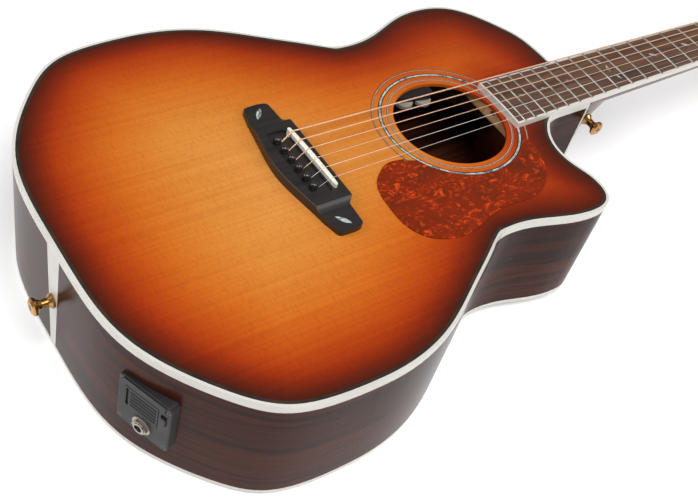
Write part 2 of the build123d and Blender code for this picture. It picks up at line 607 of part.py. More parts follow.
def string_points(number):
    """A string's route: ball end, pin hole, saddle, nut and tuner post."""
    radius = STRING_RADII[number]
    share = number / (STRING_COUNT - 1) - 0.5
    pin_x, saddle_x, nut_x = PIN_SPREAD * share, SADDLE_SPREAD * share, NUT_SPREAD * share
    saddle_y = SADDLE_Y + 0.2 + (saddle_x - SADDLE_X) * tan(radians(SADDLE_SLANT))
    post_x, along = POST_PLACES[number]
    side = 1 if post_x > 0 else -1
    turn_radius = POST_RADIUS + radius
    stop_short = sqrt((turn_radius + 2 * radius + CLEAR) ** 2 - turn_radius ** 2)
    local = Vector(post_x - side * turn_radius, along - stop_short, COIL_HEIGHT)
    return [
        (pin_x, PIN_Y + STRING_IN_HOLE, PLATE_BOTTOM - 0.5),
        (pin_x, PIN_Y + STRING_IN_HOLE, SHELF_HEIGHT - 2.6),
        (saddle_x, saddle_y, SADDLE_HEIGHT + radius + 0.12 - crown_drop(saddle_x)),
        (nut_x, NUT_Y + 1, NUT_ACTION + radius - crown_drop(nut_x)),
        tuple(HEAD_PLANE.from_local_coords(local)),
    ]


def string_solid(number):
    """One string with its ball end."""
    radius = STRING_RADII[number]
    points = string_points(number)
    route = FilletPolyline(*points, radius=[3.0, SADDLE_BEND, 12.0])
    start = Plane(origin=points[0], z_dir=(0, 0, 1))
    cord = sweep(start.location * Circle(radius), path=route)
    ball = Pos(points[0][0], points[0][1] + 0.9, PLATE_BOTTOM - BALL_RADIUS - 0.02) * Sphere(BALL_RADIUS)
    return cord + ball


def string_channels(from_point, to_point, extra):
    """Round channels along one run of every string, wider than it by an amount."""
    channels = []
    for number, radius in enumerate(STRING_RADII):
        points = string_points(number)
        channels.append(rod(points[from_point], points[to_point], radius + extra))
    return channels


def nut():
    """The slotted bone nut."""
    body = box(-NUT_WIDTH / 2, NUT_WIDTH / 2, NUT_Y, HEAD_START_Y, 0, NUT_TOP)
    top_edges = body.edges().filter_by(Axis.X).group_by(Axis.Z)[-1]
    body = fillet(top_edges, 0.9)
    curve = board_curve(NUT_RISE, NUT_Y - 1, HEAD_START_Y + 1)
    body = body & curve
    for number, radius in enumerate(STRING_RADII):
        points = string_points(number)
        for a, b in ((2, 3), (3, 4)):
            body -= rod(points[a], points[b], radius + 0.12)
    return body


def saddle():
    """The bone saddle, crowned to the fretboard's curve, with a shallow notch under each string."""
    blank = Pos(0, 0, SADDLE_FLOOR) * extrude(
        SlotOverall(2 * SADDLE_HALF_LENGTH, SADDLE_THICKNESS), amount=SADDLE_HEIGHT - SADDLE_FLOOR
    )
    crown = Solid.make_cylinder(
        BOARD_RADIUS, 20, Plane((0, -10, SADDLE_HEIGHT - BOARD_RADIUS), z_dir=Y_AXIS)
    )
    back = Pos(0, 0, SADDLE_HEIGHT) * Rot(SADDLE_BACK_SLOPE, 0, 0) * box(-50, 50, -10, 0, 0, 10)
    body = SADDLE_PLACE * ((blank & crown) - back)
    for number, radius in enumerate(STRING_RADII):
        points = string_points(number)[1:4]
        route = FilletPolyline(*points, radius=SADDLE_BEND)
        start = Plane(origin=points[0], z_dir=Vector(*points[1]) - Vector(*points[0]))
        body -= sweep(start.location * Circle(radius + 0.03), path=route)
    return body


# ---- bridge ----
BRIDGE_SHOULDER = 46.0         # half the length of the bridge's thick middle
WING_REAR, WING_FRONT = -22.0, 4.0
BELLY_REAR, MIDDLE_FRONT = -31.0, 9.0


def bridge_plan():
    """Two straight wings with a belly behind the pins and a stepped front edge."""
    end, shoulder = BRIDGE_HALF_LENGTH, BRIDGE_SHOULDER
    edges = [
        Line((-shoulder + 3, MIDDLE_FRONT), (shoulder - 3, MIDDLE_FRONT)),
        Spline((-shoulder - 10, WING_REAR - 1), (0, BELLY_REAR), (shoulder + 10, WING_REAR - 1),
               tangents=[(1, -0.12), (1, 0.12)]),
    ]
    for side in SIDES:
        edges += [
            Spline((side * (shoulder - 3), MIDDLE_FRONT), (side * (shoulder + 5), WING_FRONT),
                   tangents=[(side, 0), (side, 0)]),
            Line((side * (shoulder + 5), WING_FRONT), (side * (end - 4), WING_FRONT - 1)),
            Spline((side * (end - 4), WING_FRONT - 1), (side * end, WING_FRONT - 6), (side * end, -15),
                   (side * (end - 4), -20), tangents=[(side, -0.1), (-side, -0.2)]),
            Line((side * (end - 4), -20), (side * (shoulder + 10), WING_REAR - 1)),
        ]
    return make_face(Wire(edges))


def bridge():
    """The bridge: thin wings, a thick middle, the saddle slot and the ramped pin holes."""
    body = prism(bridge_plan(), 0, BRIDGE_HEIGHT)
    wing_cut = box(BRIDGE_SHOULDER + 6, 100, -50, 50, WING_HEIGHT, 20)
    ramp = Pos(BRIDGE_SHOULDER + 6, 0, WING_HEIGHT + 9) * Rot(90, 0, 0) * Cylinder(9, 120)
    for side in SIDES:
        turned = Rot(0, 0, 0 if side > 0 else 180)
        body -= turned * (wing_cut + ramp)
    body = fillet(body.edges().group_by(Axis.Z)[-1], 1.0)
    shelf = box(-36, 36, PIN_Y - 5.6, -2.6, SHELF_HEIGHT, 20)
    shelf = fillet(shelf.edges().filter_by(Axis.Z), 3.5)
    body -= shelf
    slot = SADDLE_PLACE * Pos(0, 0, SADDLE_FLOOR) * extrude(
        SlotOverall(2 * SADDLE_HALF_LENGTH, SADDLE_THICKNESS), amount=20
    )
    body -= slot
    body -= SADDLE_PLACE * Pos(0, 0, SADDLE_FLOOR - PICKUP_THICKNESS) * extrude(
        SlotOverall(PICKUP_LENGTH, PICKUP_WIDTH), amount=PICKUP_THICKNESS
    )
    for x in PIN_X:
        body -= Pos(x, PIN_Y, 0) * Cylinder(PIN_HOLE_RADIUS, 30)
    for channel in string_channels(1, 2, 0.3):
        body -= channel
    for side in SIDES:
        body -= ornament(side)
    return body


PICKUP_LENGTH, PICKUP_WIDTH, PICKUP_THICKNESS = 2 * SADDLE_HALF_LENGTH - 5, 2.2, 1.2


def saddle_pickup():
    """The thin strip pickup under the saddle."""
    strip = extrude(SlotOverall(PICKUP_LENGTH - 0.2, PICKUP_WIDTH - 0.2), amount=PICKUP_THICKNESS)
    return SADDLE_PLACE * Pos(0, 0, SADDLE_FLOOR - PICKUP_THICKNESS) * strip


def ornament(side, depth=0.8):
    """A plain leaf-shaped inlay in a bridge wing."""
    leaf = Pos(0, 11) * Circle(13) & Pos(0, -11) * Circle(13)
    return Pos(side * 62, -10, WING_HEIGHT - depth) * Rot(0, 0, side * 40) * extrude(leaf, amount=depth)


def bridge_pin(x):
    """A ball-headed pin, flat in front below its collar to pass the string."""
    tip = PLATE_BOTTOM - 7
    shank = Solid.make_cone(PIN_RADIUS - 0.35, PIN_RADIUS, SHELF_HEIGHT - tip, Plane((0, 0, tip)))
    shank -= box(-5, 5, 0.95, 5, tip - 1, SHELF_HEIGHT)
    collar = Pos(0, 0, SHELF_HEIGHT + 0.5) * Cylinder(3.7, 1.0)
    head = Pos(0, 0, SHELF_HEIGHT + 3.0) * Sphere(3.1)
    head -= box(-5, 5, -5, 5, SHELF_HEIGHT - 5, SHELF_HEIGHT + 0.5)
    return Pos(x, PIN_Y, 0) * (shank + collar + head)


# ---- fretboard ----
def fret(number):
    """One fret: a crowned wire bent to the board's radius, with its tang."""
    y = fret_y(number)
    reach = board_half_width(y) - 0.35
    angle = degrees(2 * asin(reach / BOARD_RADIUS))
    bead = Ellipse(FRET_WIDTH / 2, FRET_CROWN) & Pos(0, FRET_CROWN) * Rectangle(FRET_WIDTH, 2 * FRET_CROWN)
    tang = Pos(0, -FRET_TANG / 2) * Rectangle(FRET_TANG_WIDTH, FRET_TANG)
    centre = BOARD_TOP - BOARD_RADIUS
    stand = Plane(origin=(0, y, BOARD_TOP), x_dir=Y_AXIS, z_dir=X_AXIS)
    spin = Axis((0, y, centre), Y_AXIS)
    wire = revolve(stand.location * bead, axis=spin, revolution_arc=angle)
    root = revolve(stand.location * tang, axis=spin, revolution_arc=angle)
    return (wire + root).rotate(spin, -angle / 2)


def fretboard_parts():
    """Board, its binding, the frets and the inlays."""
    whole = under_curve(prism(board_plan(), 0, BOARD_TOP + 1))
    core = under_curve(prism(board_plan(BOARD_BINDING), 0, BOARD_TOP + 1))
    frets = [fret(number) for number in range(1, FRET_COUNT + 1)]
    binding = whole - prism(board_plan(BOARD_BINDING), -1, BOARD_TOP + 2)
    marks = [under_curve(mark) for mark in board_marks()]
    for mark in marks:
        core -= mark
    for piece in frets:
        core -= piece
        binding -= piece
    core -= box(-ROD_SIZE / 2, ROD_SIZE / 2, 0, 1, -1, 0)
    save("fretboard", core)
    save("fretboard_binding", binding)
    save("frets", *frets)
    save("fretboard_inlays", *marks)


def board_marks():
    """Plain leaf marks, let into the board, with a longer vine at the twelfth fret."""
    marks = []
    bottom = BOARD_TOP - 1.2
    for number in (3, 5, 7, 9, 15, 17, 19):
        y = (fret_y(number) + fret_y(number - 1)) / 2
        size = (fret_y(number - 1) - fret_y(number)) * 0.3
        leaf = Pos(0, size) * Circle(size * 1.2) & Pos(0, -size) * Circle(size * 1.2)
        marks.append(Pos(0, y, bottom) * Rot(0, 0, 55) * extrude(leaf, amount=3))
    y = (fret_y(12) + fret_y(11)) / 2
    for x, rise, turn in ((-12, -2, 20), (0, 0, -15), (12, 2, 20)):
        leaf = Pos(0, 8.4) * Circle(9.6) & Pos(0, -8.4) * Circle(9.6)
        marks.append(Pos(x, y + rise, bottom) * Rot(0, 0, turn) * extrude(leaf, amount=3))
    return marks


# ---- pickguard ----
PICKGUARD_THICKNESS = 0.8


def pickguard():
    """The teardrop guard that follows the rosette's outer edge."""
    inner = ABALONE_RING[1] + 0.4
    angles = [radians(a) for a in (-64, -8, 53)]
    low, middle, high = [(inner * cos(a), HOLE_Y + inner * sin(a)) for a in angles]
    edge = ThreePointArc(low, middle, high)
    outer = Spline(
        high, (52, 196), (75, 188.5), (93, 172), (99, 150), (98, 130), (101.5, 106), (109, 80),
        (107, 58), (98, 43), (82, 35), (64, 34), (46, 36), (34, 42), (25, 53), (21, 66), (23, 78), low,
        tangents=[(0.8, 0.35), (0.35, 0.94)],
    )
    return extrude(make_face(Wire([edge, outer])), amount=PICKGUARD_THICKNESS)


# ---- battery box and jack, drawn with x across, y up and z out of the face ----
PLATE_HALF_WIDTH, PLATE_HALF_HEIGHT, PLATE_STANDS_OUT = 23.0, 26.0, 2.6
DRAWER_LEFT, DRAWER_RIGHT, DRAWER_LOW, DRAWER_HIGH = -16.5, 12.5, -5.0, 18.0
DRAWER_DEPTH, DRAWER_WALL = 56.0, 1.0
LATCH_X, LATCH_Y, LATCH_TRAVEL = 17.2, 8.0, 2.5
BATTERY_WIDTH, BATTERY_THICKNESS, BATTERY_LENGTH = 26.0, 17.0, 47.0


def battery_shell():
    """The fixed plate and the pocket behind it."""
    plate = box(-PLATE_HALF_WIDTH, PLATE_HALF_WIDTH, -PLATE_HALF_HEIGHT, PLATE_HALF_HEIGHT, -6, PLATE_STANDS_OUT)
    plate = fillet(plate.edges().filter_by(Axis.Z), 4)
    plate = fillet(plate.faces().sort_by(Axis.Z)[-1].edges(), 1.0)
    rim = box(-19, 19, DRAWER_HIGH + 1.6, PLATE_HALF_HEIGHT - 0.8, 0, PLATE_STANDS_OUT + 1.0)
    rim = fillet(rim.edges().filter_by(Axis.Z), 1.5)
    plate = on_battery(plate + rim) - prism(PLAN, FLOOR, 1)
    wall = DRAWER_WALL + CLEAR + 0.8
    pocket = box(
        DRAWER_LEFT - wall, DRAWER_RIGHT + wall, DRAWER_LOW - wall, DRAWER_HIGH + wall,
        -DRAWER_DEPTH - 2.5, 0,
    )
    neck = box(
        -BOX_HALF_WIDTH + CLEAR, BOX_HALF_WIDTH - CLEAR, -BOX_HALF_HEIGHT + CLEAR, BOX_HALF_HEIGHT - CLEAR,
        -7, 0.5,
    )
    gap = CLEAR
    cavity = box(
        DRAWER_LEFT - gap, DRAWER_RIGHT + gap, DRAWER_LOW - gap, DRAWER_HIGH + gap, -DRAWER_DEPTH - 1, 20
    )
    shell = plate + on_battery(pocket + neck) - on_battery(cavity)
    shell -= on_battery(Pos(0, -JACK_DROP, 0) * Cylinder(JACK_BODY_RADIUS, 60))
    shell -= on_battery(box(
        LATCH_X - 2.2 - gap, LATCH_X + 2.2 + gap, LATCH_Y - 4 - gap, LATCH_Y + 4 + gap + LATCH_TRAVEL,
        PLATE_STANDS_OUT - 1.2, 20,
    ))
    for x, y in SCREW_PLACES:
        shell -= on_battery(Pos(x, y, 0) * Cylinder(1.1, 30))
        shell -= on_battery(Pos(x, y, PLATE_STANDS_OUT) * Cylinder(2.3, 2.4))
    return shell


BOX_SCREW_RADIUS = 1.05
SCREW_PLACES = ((-20.2, 21.5), (20.2, 21.5), (-20.2, -22.0), (20.2, -22.0))


def battery_box_screws():
    """Four countersunk screws that hold the battery box to the side."""
    screws = []
    for x, y in SCREW_PLACES:
        head = Pos(x, y, PLATE_STANDS_OUT - 0.6) * Cylinder(2.2, 1.1)
        head -= Pos(x, y, PLATE_STANDS_OUT) * (Box(2.6, 0.5, 0.8) + Box(0.5, 2.6, 0.8))
        screws.append(on_battery(head + rod((x, y, PLATE_STANDS_OUT - 1), (x, y, -5), BOX_SCREW_RADIUS)))
    return screws


def battery_drawer():
    """The sliding tray with its ridged front."""
    front = box(DRAWER_LEFT, DRAWER_RIGHT, DRAWER_LOW, DRAWER_HIGH, -2, PLATE_STANDS_OUT + 0.6)
    front = fillet(front.faces().sort_by(Axis.Z)[-1].edges(), 0.6)
    ridge_z = PLATE_STANDS_OUT + 0.4
    for step in range(5):
        y = DRAWER_LOW + 4.2 + step * 3.6
        front += rod((DRAWER_LEFT + 5, y, ridge_z), (DRAWER_RIGHT - 1.5, y, ridge_z), 0.8)
    front -= box(DRAWER_LEFT + 1.2, DRAWER_LEFT + 3.4, DRAWER_LOW + 2, DRAWER_HIGH - 2, PLATE_STANDS_OUT - 0.8, 20)
    tray = box(DRAWER_LEFT, DRAWER_RIGHT, DRAWER_LOW, DRAWER_HIGH - 0.2, -DRAWER_DEPTH, -2)
    tray -= box(
        DRAWER_LEFT + DRAWER_WALL, DRAWER_RIGHT - DRAWER_WALL, DRAWER_LOW + DRAWER_WALL, DRAWER_HIGH + 1,
        -DRAWER_DEPTH + DRAWER_WALL, -2,
    )
    return on_battery(front + tray)


def battery():
    """A nine-volt block battery with its two snap terminals."""
    x, y = (DRAWER_LEFT + DRAWER_RIGHT) / 2, DRAWER_LOW + DRAWER_WALL + BATTERY_THICKNESS / 2
    end = -4.0
    cell = Pos(x, y, end - BATTERY_LENGTH / 2) * Box(BATTERY_WIDTH, BATTERY_THICKNESS, BATTERY_LENGTH)
    cell = fillet(cell.edges().filter_by(Axis.Z), 2)
    for side in SIDES:
        cell += Pos(x + side * 6.3, y, end - BATTERY_LENGTH - 1.2) * Cylinder(2.9, 2.4)
    return on_battery(cell)


def battery_latch():
    """The small sliding latch beside the drawer."""
    tab = box(LATCH_X - 2.2, LATCH_X + 2.2, LATCH_Y - 4, LATCH_Y + 4, PLATE_STANDS_OUT - 0.9, PLATE_STANDS_OUT + 1.3)
    tab = fillet(tab.edges().filter_by(Axis.Z), 1.2)
    return on_battery(fillet(tab.faces().sort_by(Axis.Z)[-1].edges(), 0.5))


def output_jack():
    """The quarter-inch socket, and the washer and nut that hold it in the plate."""
    tube = rod((0, -JACK_DROP, -34), (0, -JACK_DROP, PLATE_STANDS_OUT + 4.0), JACK_BODY_RADIUS - 1.2)
    barrel = rod((0, -JACK_DROP, -34), (0, -JACK_DROP, -8), JACK_BODY_RADIUS + 1.6)
    socket = tube + barrel - rod((0, -JACK_DROP, -31), (0, -JACK_DROP, 30), JACK_BORE_RADIUS)
    washer = Pos(0, -JACK_DROP, PLATE_STANDS_OUT) * extrude(
        Circle(8.0) - Circle(JACK_BODY_RADIUS - 1.2), amount=0.9)
    ring_nut = Pos(0, -JACK_DROP, PLATE_STANDS_OUT + 0.9) * extrude(
        RegularPolygon(6.6, 6) - Circle(JACK_BODY_RADIUS - 1.2), amount=2.2)
    return [on_battery(socket), on_battery(washer), on_battery(ring_nut)]


# ---- preamp at the sound hole ----
POD_X, POD_Y, POD_TURN = -49.0, 138.0, 80.0
WHEEL_RADIUS, WHEEL_THICKNESS = 8.0, 3.0


def preamp_parts():
    """The control pod under the edge of the sound hole with its two thumbwheels."""
    top = -TOP_THICKNESS
    pod = Pos(POD_X, POD_Y, 0) * Rot(0, 0, POD_TURN) * box(-19, 19, -9, 9, top - 15, top)
    pod = fillet(pod.edges().filter_by(Axis.Z), 6)
    pod = fillet(pod.faces().sort_by(Axis.Z)[0].edges(), 1.5)
    wheels = []
    for along in (-9, 9):
        centre = Pos(POD_X, POD_Y, 0) * Rot(0, 0, POD_TURN) * Pos(along, -6.5, top - 6.5)
        wheel = Cylinder(WHEEL_RADIUS, WHEEL_THICKNESS)
        ridges = [Pos(*location.position) * Cylinder(0.35, WHEEL_THICKNESS + 1)
                  for location in PolarLocations(WHEEL_RADIUS, 24)]
        for ridge in ridges:
            wheel -= ridge
        wheel -= Cylinder(1.0 + SHAFT_FIT, 10)
        pod -= centre * Cylinder(WHEEL_RADIUS + CLEAR, WHEEL_THICKNESS + 2 * CLEAR)
        pod += centre * Cylinder(1.0, WHEEL_THICKNESS + 2 * CLEAR)
        wheels.append(centre * wheel)
    save("preamp_pod", pod)
    save("volume_wheel", wheels[1])
    save("tone_wheel", wheels[0])


# ---- strap buttons, truss rod and heel cap ----
HEEL_PEG_X, HEEL_PEG_Y = 24.0, BODY_FRONT + 7
STRAP_STANDS_OUT = 17.0


def strap_button(start, direction):
    """A turned button with a felt-sized gap under its flange, and its screw."""
    profile = [
        (0, 0.2), (5.6, 0.2), (5.9, 1.8), (3.6, 4.2), (3.3, 9.0), (4.6, 11.5), (7.0, 13.6),
        (7.2, 15.4), (5.4, STRAP_STANDS_OUT - 0.2), (0, STRAP_STANDS_OUT),
    ]
    face = make_face(Wire(Polyline(*profile, close=True)))
    turned = revolve(Plane.XZ.location * face, axis=Axis.Z)
    turned += rod((0, 0, -12), (0, 0, 0.2), PEG_SHANK_RADIUS)
    turned -= Pos(0, 0, STRAP_STANDS_OUT) * (Box(5, 0.9, 2.0) + Box(0.9, 5, 2.0))
    return Plane(origin=start, z_dir=direction).location * turned


def truss_rod():
    """The adjusting rod in its channel."""
    half = ROD_SIZE / 2
    return box(-half, half, ROD_START, NUT_Y - 14, -ROD_SIZE, -0.1)


def truss_rod_nut():
    """The hexagonal socket nut that is turned through the sound hole."""
    near, far = (0, ROD_NUT_START, ROD_NUT_Z), (0, ROD_START - 0.3, ROD_NUT_Z)
    body = rod(near, far, ROD_NUT_RADIUS)
    socket = Plane(origin=near, z_dir=Y_AXIS).location * extrude(RegularPolygon(2.0, 6), amount=6)
    return body - socket


def heel_cap():
    """The thin plate that closes the foot of the heel."""
    return Pos(0, 0, -HEEL_CAP_THICKNESS - HEEL_DEPTH) * extrude(
        Pos(0, 0, HEEL_DEPTH) * heel_section(1.0), amount=HEEL_CAP_THICKNESS)


# ---- the whole guitar ----
HEAD_TIP = HEAD_PLANE.from_local_coords(Vector(0, HEADSTOCK_LENGTH, 0))
MIDDLE_Y = (HEAD_TIP.Y - TAIL_LENGTH - STRAP_STANDS_OUT) / 2

shell_parts()
block_parts()
save("top_braces", *top_braces())
save("back_braces", *back_braces())
save("bridge_plate", bridge_plate())
save("neck", neck_solid())
save("headstock_veneer", head_veneer())
save("heel_cap", heel_cap())
save("truss_rod", truss_rod())
save("truss_rod_nut", truss_rod_nut())
fretboard_parts()
save("nut", nut())
save("saddle", saddle())
save("saddle_pickup", saddle_pickup())
save("bridge", bridge())
save("bridge_inlays", *[ornament(side) for side in SIDES])
save("bridge_pins", *[bridge_pin(x) for x in PIN_X])
save("wound_strings", *[string_solid(number) for number in range(WOUND_COUNT)])
save("plain_strings", *[string_solid(number) for number in range(WOUND_COUNT, STRING_COUNT)])
save("pickguard", pickguard())
save("strap_buttons",
     strap_button((0, -TAIL_LENGTH, STRAP_PEG_Z), (0, -1, 0)),
     strap_button((HEEL_PEG_X, HEEL_PEG_Y, HEEL_PEG_Z), X_AXIS))
save("battery_box", battery_shell())
save("battery_drawer", battery_drawer())
save("battery", battery())
save("battery_latch", battery_latch())
save("output_jack", *output_jack())
preamp_parts()
save("screws", *tuner_parts(), *battery_box_screws())
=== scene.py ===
"""Looks for the acoustic guitar: a finish for every part, and a finely faced soundboard for its sunburst."""

from math import radians

import bmesh
import bpy
import numpy as np
from mathutils import Matrix, Vector
from mathutils.geometry import delaunay_2d_cdt


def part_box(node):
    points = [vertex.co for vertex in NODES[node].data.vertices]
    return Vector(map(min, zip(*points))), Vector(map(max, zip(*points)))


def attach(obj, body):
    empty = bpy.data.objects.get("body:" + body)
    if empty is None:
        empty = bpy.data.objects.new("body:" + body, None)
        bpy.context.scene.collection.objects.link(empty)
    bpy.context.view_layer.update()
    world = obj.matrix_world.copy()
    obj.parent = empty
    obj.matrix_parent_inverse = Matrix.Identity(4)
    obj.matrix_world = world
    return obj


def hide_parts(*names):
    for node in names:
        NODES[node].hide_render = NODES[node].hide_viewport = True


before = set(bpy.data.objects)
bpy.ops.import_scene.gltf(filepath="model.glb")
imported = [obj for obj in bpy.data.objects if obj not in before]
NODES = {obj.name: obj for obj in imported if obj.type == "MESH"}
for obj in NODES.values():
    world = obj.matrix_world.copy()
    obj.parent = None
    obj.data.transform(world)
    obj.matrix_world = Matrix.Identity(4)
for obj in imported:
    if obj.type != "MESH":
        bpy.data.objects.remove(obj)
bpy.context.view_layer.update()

# ---- places read from the frame, in metres ----
NUT_TO_SADDLE = 0.6455
PURFLING_WIDTH = 0.0026
top_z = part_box("soundboard")[1][2]
saddle_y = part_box("nut")[0][1] - NUT_TO_SADDLE
HOLE = (0.0, sum(c[1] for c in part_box("rosette_abalone")) / 2)


def rgb(red, green, blue):
    """A colour given as 0 to 255 screen values, made linear."""
    screen = (red, green, blue)
    return tuple(((c / 255 + 0.055) / 1.055) ** 2.4 if c > 10 else c / 3294 for c in screen) + (1.0,)


class Finish:
    """A material under construction: each method adds a node and returns the socket it makes."""

    def __init__(self, name, roughness=0.35, metallic=0.0, coat=0.0, specular=0.5):
        self.material = bpy.data.materials.new(name)
        self.material.use_nodes = True
        self.tree = self.material.node_tree
        self.shader = self.tree.nodes["Principled BSDF"]
        values = {
            "Roughness": roughness, "Metallic": metallic, "Coat Weight": coat, "Coat Roughness": 0.04,
            "Specular IOR Level": specular,
        }
        for socket, value in values.items():
            self.shader.inputs[socket].default_value = value

    def add(self, kind, inputs=(), **settings):
        node = self.tree.nodes.new(kind)
        for key, value in settings.items():
            setattr(node, key, value)
        for key, value in dict(inputs).items():
            if isinstance(value, bpy.types.NodeSocket):
                self.tree.links.new(value, node.inputs[key])
            else:
                node.inputs[key].default_value = value
        return node

    def place(self, scale=(1, 1, 1), turn=(0, 0, 0), at=(0, 0, 0)):
        """Object coordinates, measured from a point, stretched and turned."""
        coords = self.add("ShaderNodeTexCoord")
        moved = self.add("ShaderNodeVectorMath", {0: coords.outputs["Object"], 1: at}, operation="SUBTRACT")
        angles = tuple(radians(a) for a in turn)
        inputs = {"Vector": moved.outputs[0], "Scale": scale, "Rotation": angles}
        return self.add("ShaderNodeMapping", inputs).outputs[0]

    def hole_radius(self):
        """Distance from the middle of the sound hole, seen from above."""
        flat = self.place((1, 1, 0), at=(HOLE[0], HOLE[1], 0))
        return self.add("ShaderNodeVectorMath", {0: flat}, operation="LENGTH").outputs["Value"]

    def noise(self, vector, scale, detail=3.0, rough=0.55, bend=0.0):
        inputs = {"Vector": vector, "Scale": scale, "Detail": detail, "Roughness": rough, "Distortion": bend}
        return self.add("ShaderNodeTexNoise", inputs).outputs["Fac"]

    def cells(self, vector, scale, feature="F1", output="Distance"):
        cells = self.add("ShaderNodeTexVoronoi", {"Vector": vector, "Scale": scale}, feature=feature)
        return cells.outputs[output]

    def bands(self, vector, scale, bend=0.0, detail=2.0, direction="X"):
        inputs = {"Vector": vector, "Scale": scale, "Distortion": bend, "Detail": detail}
        return self.add("ShaderNodeTexWave", inputs, bands_direction=direction).outputs["Fac"]

    def attribute(self, name):
        return self.add("ShaderNodeAttribute", attribute_name=name).outputs["Fac"]

    def ramp(self, value, stops):
        node = self.add("ShaderNodeValToRGB", {"Fac": value})
        marks = node.color_ramp.elements
        while len(marks) < len(stops):
            marks.new(0.5)
        for mark, (position, colour) in zip(marks, stops):
            mark.position = position
            mark.color = colour if len(colour) == 4 else (*colour, 1)
        return node.outputs["Color"]

    def mix(self, share, first, second, how="MIX"):
        node = self.add("ShaderNodeMix", data_type="RGBA", blend_type=how)
        for index, value in ((0, share), (6, first), (7, second)):
            if isinstance(value, bpy.types.NodeSocket):
                self.tree.links.new(value, node.inputs[index])
            else:
                node.inputs[index].default_value = value
        return node.outputs[2]

    def sum(self, first, second, how="ADD"):
        return self.add("ShaderNodeMath", {0: first, 1: second}, operation=how).outputs[0]

    def spread(self, value, low, high, new_low=0.0, new_high=1.0):
        inputs = {"Value": value, "From Min": low, "From Max": high, "To Min": new_low, "To Max": new_high}
        return self.add("ShaderNodeMapRange", inputs).outputs[0]

    def colour(self, socket):
        self.tree.links.new(socket, self.shader.inputs["Base Color"])
        return self

    def rough(self, socket):
        self.tree.links.new(socket, self.shader.inputs["Roughness"])
        return self

    def bump(self, height, strength=0.3, depth=0.0002):
        node = self.add("ShaderNodeBump", {"Height": height, "Strength": strength, "Distance": depth})
        self.tree.links.new(node.outputs[0], self.shader.inputs["Normal"])
        return self


BLACK, WHITE = (0, 0, 0, 1), (1, 1, 1, 1)


# ---- woods ----
def sunburst_spruce():
    """Lacquered spruce, amber in the middle and burnt to a dark red-brown at the edge."""
    f = Finish("sunburst_spruce", roughness=0.4, coat=0.1, specular=0.12)
    wander = f.noise(f.place(), 14, 2)
    edge = f.sum(f.attribute("edge"), f.spread(wander, 0, 1, -0.004, 0.004))
    far = f.spread(edge, 0.0, 0.19)
    burst = f.ramp(far, [
        (0.0, rgb(72, 28, 15)), (0.03, rgb(98, 31, 11)), (0.075, rgb(134, 40, 8)), (0.13, rgb(168, 58, 9)),
        (0.23, rgb(190, 83, 17)), (0.36, rgb(206, 110, 31)), (0.56, rgb(214, 136, 54)),
        (0.95, rgb(224, 154, 76)),
    ])
    grain = f.noise(f.place((420, 2.5, 3), at=(0.01, 0, 0)), 1.0, 3, 0.6)
    years = f.bands(f.place((1, 0.01, 1)), 170, 1.5, 2)
    lines = f.ramp(years, [(0.0, BLACK), (0.7, BLACK), (1.0, WHITE)])
    silk = f.noise(f.place((150, 620, 90), turn=(0, 0, 4)), 1.0, 4, 0.6, 0.6)
    grained = f.mix(1.0, burst, rgb(214, 166, 140), "MULTIPLY")
    tone = f.mix(f.spread(grain, 0.3, 0.7, 0.0, 0.35), burst, grained)
    tone = f.mix(f.sum(lines, 0.07, "MULTIPLY"), tone, f.mix(1.0, tone, rgb(168, 120, 92), "MULTIPLY"))
    tone = f.mix(f.spread(silk, 0.48, 0.75, 0.0, 0.28), tone, f.mix(1.0, tone, rgb(176, 120, 84), "MULTIPLY"))
    return f.colour(tone).bump(f.sum(grain, silk), 0.03, 0.0001).material


def rosewood():
    """Dark streaked rosewood under lacquer, for the sides, with its streaks round the body."""
    f = Finish("rosewood", roughness=0.25, coat=0.04, specular=0.07)
    streak = f.noise(f.place((3, 3, 110)), 1.0, 5, 0.62, 0.6)
    broad = f.noise(f.place((1.6, 1.6, 26), at=(0.3, 0, 0)), 1.0, 3, 0.5, 0.4)
    tone = f.ramp(streak, [
        (0.28, rgb(30, 15, 11)), (0.45, rgb(50, 25, 18)), (0.56, rgb(76, 35, 24)), (0.72, rgb(38, 19, 14)),
    ])
    tone = f.mix(f.spread(broad, 0.35, 0.7, 0.0, 0.75), tone, rgb(36, 20, 15))
    pores = f.noise(f.place((30, 30, 900)), 1.0, 2, 0.5)
    dark = f.spread(pores, 0.62, 0.72, 0.0, 0.55)
    return f.colour(f.mix(dark, tone, rgb(20, 11, 9))).bump(pores, 0.05, 0.0001).material


def back_rosewood():
    """The same wood with its streaks along the guitar."""
    f = Finish("back_rosewood", roughness=0.25, coat=0.04, specular=0.07)
    streak = f.noise(f.place((70, 2.2, 20)), 1.0, 5, 0.62, 0.8)
    broad = f.noise(f.place((16, 1.1, 10)), 1.0, 3, 0.5, 0.6)
    tone = f.ramp(streak, [
        (0.28, rgb(30, 15, 12)), (0.45, rgb(74, 38, 26)), (0.56, rgb(108, 60, 40)), (0.72, rgb(50, 25, 18)),
    ])
    tone = f.mix(f.spread(broad, 0.35, 0.7, 0.0, 0.7), tone, rgb(42, 21, 16))
    pores = f.noise(f.place((700, 24, 60)), 1.0, 2, 0.5)
    dark = f.spread(pores, 0.62, 0.72, 0.0, 0.5)
    return f.colour(f.mix(dark, tone, rgb(20, 11, 9))).bump(pores, 0.05, 0.0001).material


